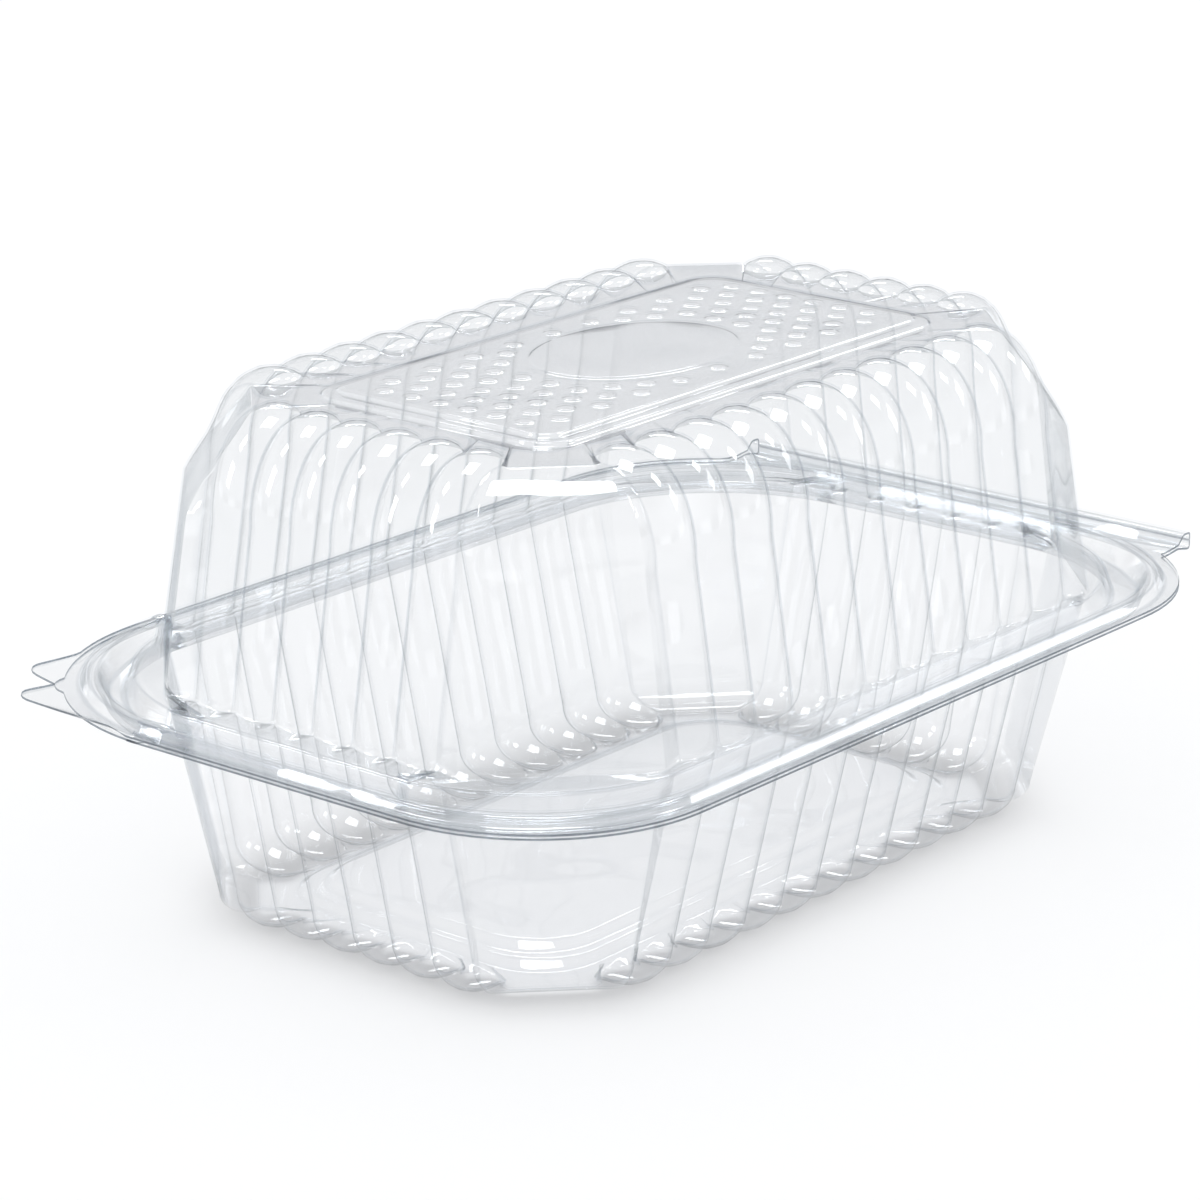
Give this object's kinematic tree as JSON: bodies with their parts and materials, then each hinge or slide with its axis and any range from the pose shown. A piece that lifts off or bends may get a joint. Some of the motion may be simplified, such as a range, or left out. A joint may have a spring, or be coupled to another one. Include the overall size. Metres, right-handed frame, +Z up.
{
  "type": "hinged clear food container",
  "caption": "Clear formed-plastic food container with a fluted tray and a tall fluted domed lid hinged along one short side, closed.",
  "frame": {"origin": "centre of the closed pack's outline, on the table", "axes": "+X runs to the hinge side, +Y to the long side with the opening tab at its far end, +Z up"},
  "size_m": [0.2256, 0.148, 0.1025],
  "materials": {
    "clear_sheet": "clear, glossy, slightly cool"
  },
  "bodies": {
    "tray": {"tray": "clear_sheet"},
    "lid": {"lid": "clear_sheet"}
  },
  "joints": [
    {"name": "lid_hinge", "type": "hinge", "parent": "tray", "child": "lid", "pos_m": [0.11275, 0, 0.04713], "axis": [0, 1, 0], "range_deg": [0, 168]}
  ]
}
